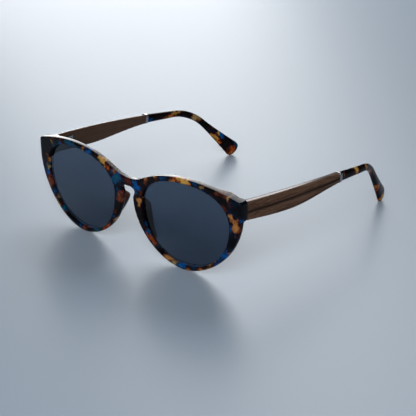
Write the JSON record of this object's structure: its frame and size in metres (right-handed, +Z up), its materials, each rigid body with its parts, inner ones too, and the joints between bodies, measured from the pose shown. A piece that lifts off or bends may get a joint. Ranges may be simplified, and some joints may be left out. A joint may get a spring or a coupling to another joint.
{
  "type": "sunglasses",
  "caption": "Sunglasses with a bowed acetate front, keyhole bridge and smoke lenses; wooden temples with acetate tips fold on sprung barrel hinges.",
  "frame": {"origin": "under the middle of the whole object's box, on the surface that the rims and the tip ends stand on, temples open", "axes": "+X to the wearer's left, -Y the way the lenses face, +Z up"},
  "size_m": [0.1466, 0.1434, 0.048],
  "materials": {
    "tortoise_acetate": "polished tortoiseshell acetate, dark brown with blue, teal and amber patches",
    "tip_acetate": "polished tortoiseshell acetate, dark with amber and yellow patches",
    "walnut": "satin walnut, grain along the temple",
    "smoke_lens": "even grey-blue tint, polished",
    "polished_steel": "polished",
    "plain_steel": "plain turned or drawn metal"
  },
  "bodies": {
    "front": {"front_frame": "tortoise_acetate", "lens_left": "smoke_lens", "lens_right": "smoke_lens", "nose_pad_left": "tortoise_acetate", "nose_pad_right": "tortoise_acetate", "front_hinge_left": "plain_steel", "front_hinge_right": "plain_steel", "hinge_screw_left": "polished_steel", "hinge_screw_right": "polished_steel"},
    "left_slider": {"hinge_slider_left": "polished_steel", "slider_nut_left": "plain_steel"},
    "left_temple": {"hinge_housing_left": "polished_steel", "housing_screws_left": "plain_steel", "spring_stop_left": "plain_steel", "hinge_spring_left": "plain_steel", "wood_temple_left": "walnut", "joint_ring_left": "polished_steel", "temple_tip_left": "tip_acetate", "core_wire_left": "plain_steel"},
    "right_slider": {"hinge_slider_right": "polished_steel", "slider_nut_right": "plain_steel"},
    "right_temple": {"hinge_housing_right": "polished_steel", "housing_screws_right": "plain_steel", "spring_stop_right": "plain_steel", "hinge_spring_right": "plain_steel", "wood_temple_right": "walnut", "joint_ring_right": "polished_steel", "temple_tip_right": "tip_acetate", "core_wire_right": "plain_steel"}
  },
  "joints": [
    {"name": "left_fold", "type": "hinge", "parent": "front", "child": "left_slider", "pos_m": [0.06568, -0.05987, 0.0375], "axis": [0, 0, 1], "range_deg": [0, 85]},
    {"name": "left_flex", "type": "slide", "parent": "left_slider", "child": "left_temple", "axis": [0.0742, 0.9972, 0], "range_m": [0, 0.0012], "stiffness_N_per_m": 2500, "springref_m": -0.0008, "deforming": ["hinge_spring_left"]},
    {"name": "right_fold", "type": "hinge", "parent": "front", "child": "right_slider", "pos_m": [-0.06568, -0.05987, 0.0375], "axis": [0, 0, -1], "range_deg": [0, 75]},
    {"name": "right_flex", "type": "slide", "parent": "right_slider", "child": "right_temple", "axis": [-0.0742, 0.9972, 0], "range_m": [0, 0.0012], "stiffness_N_per_m": 2500, "springref_m": -0.0008, "deforming": ["hinge_spring_right"]}
  ]
}
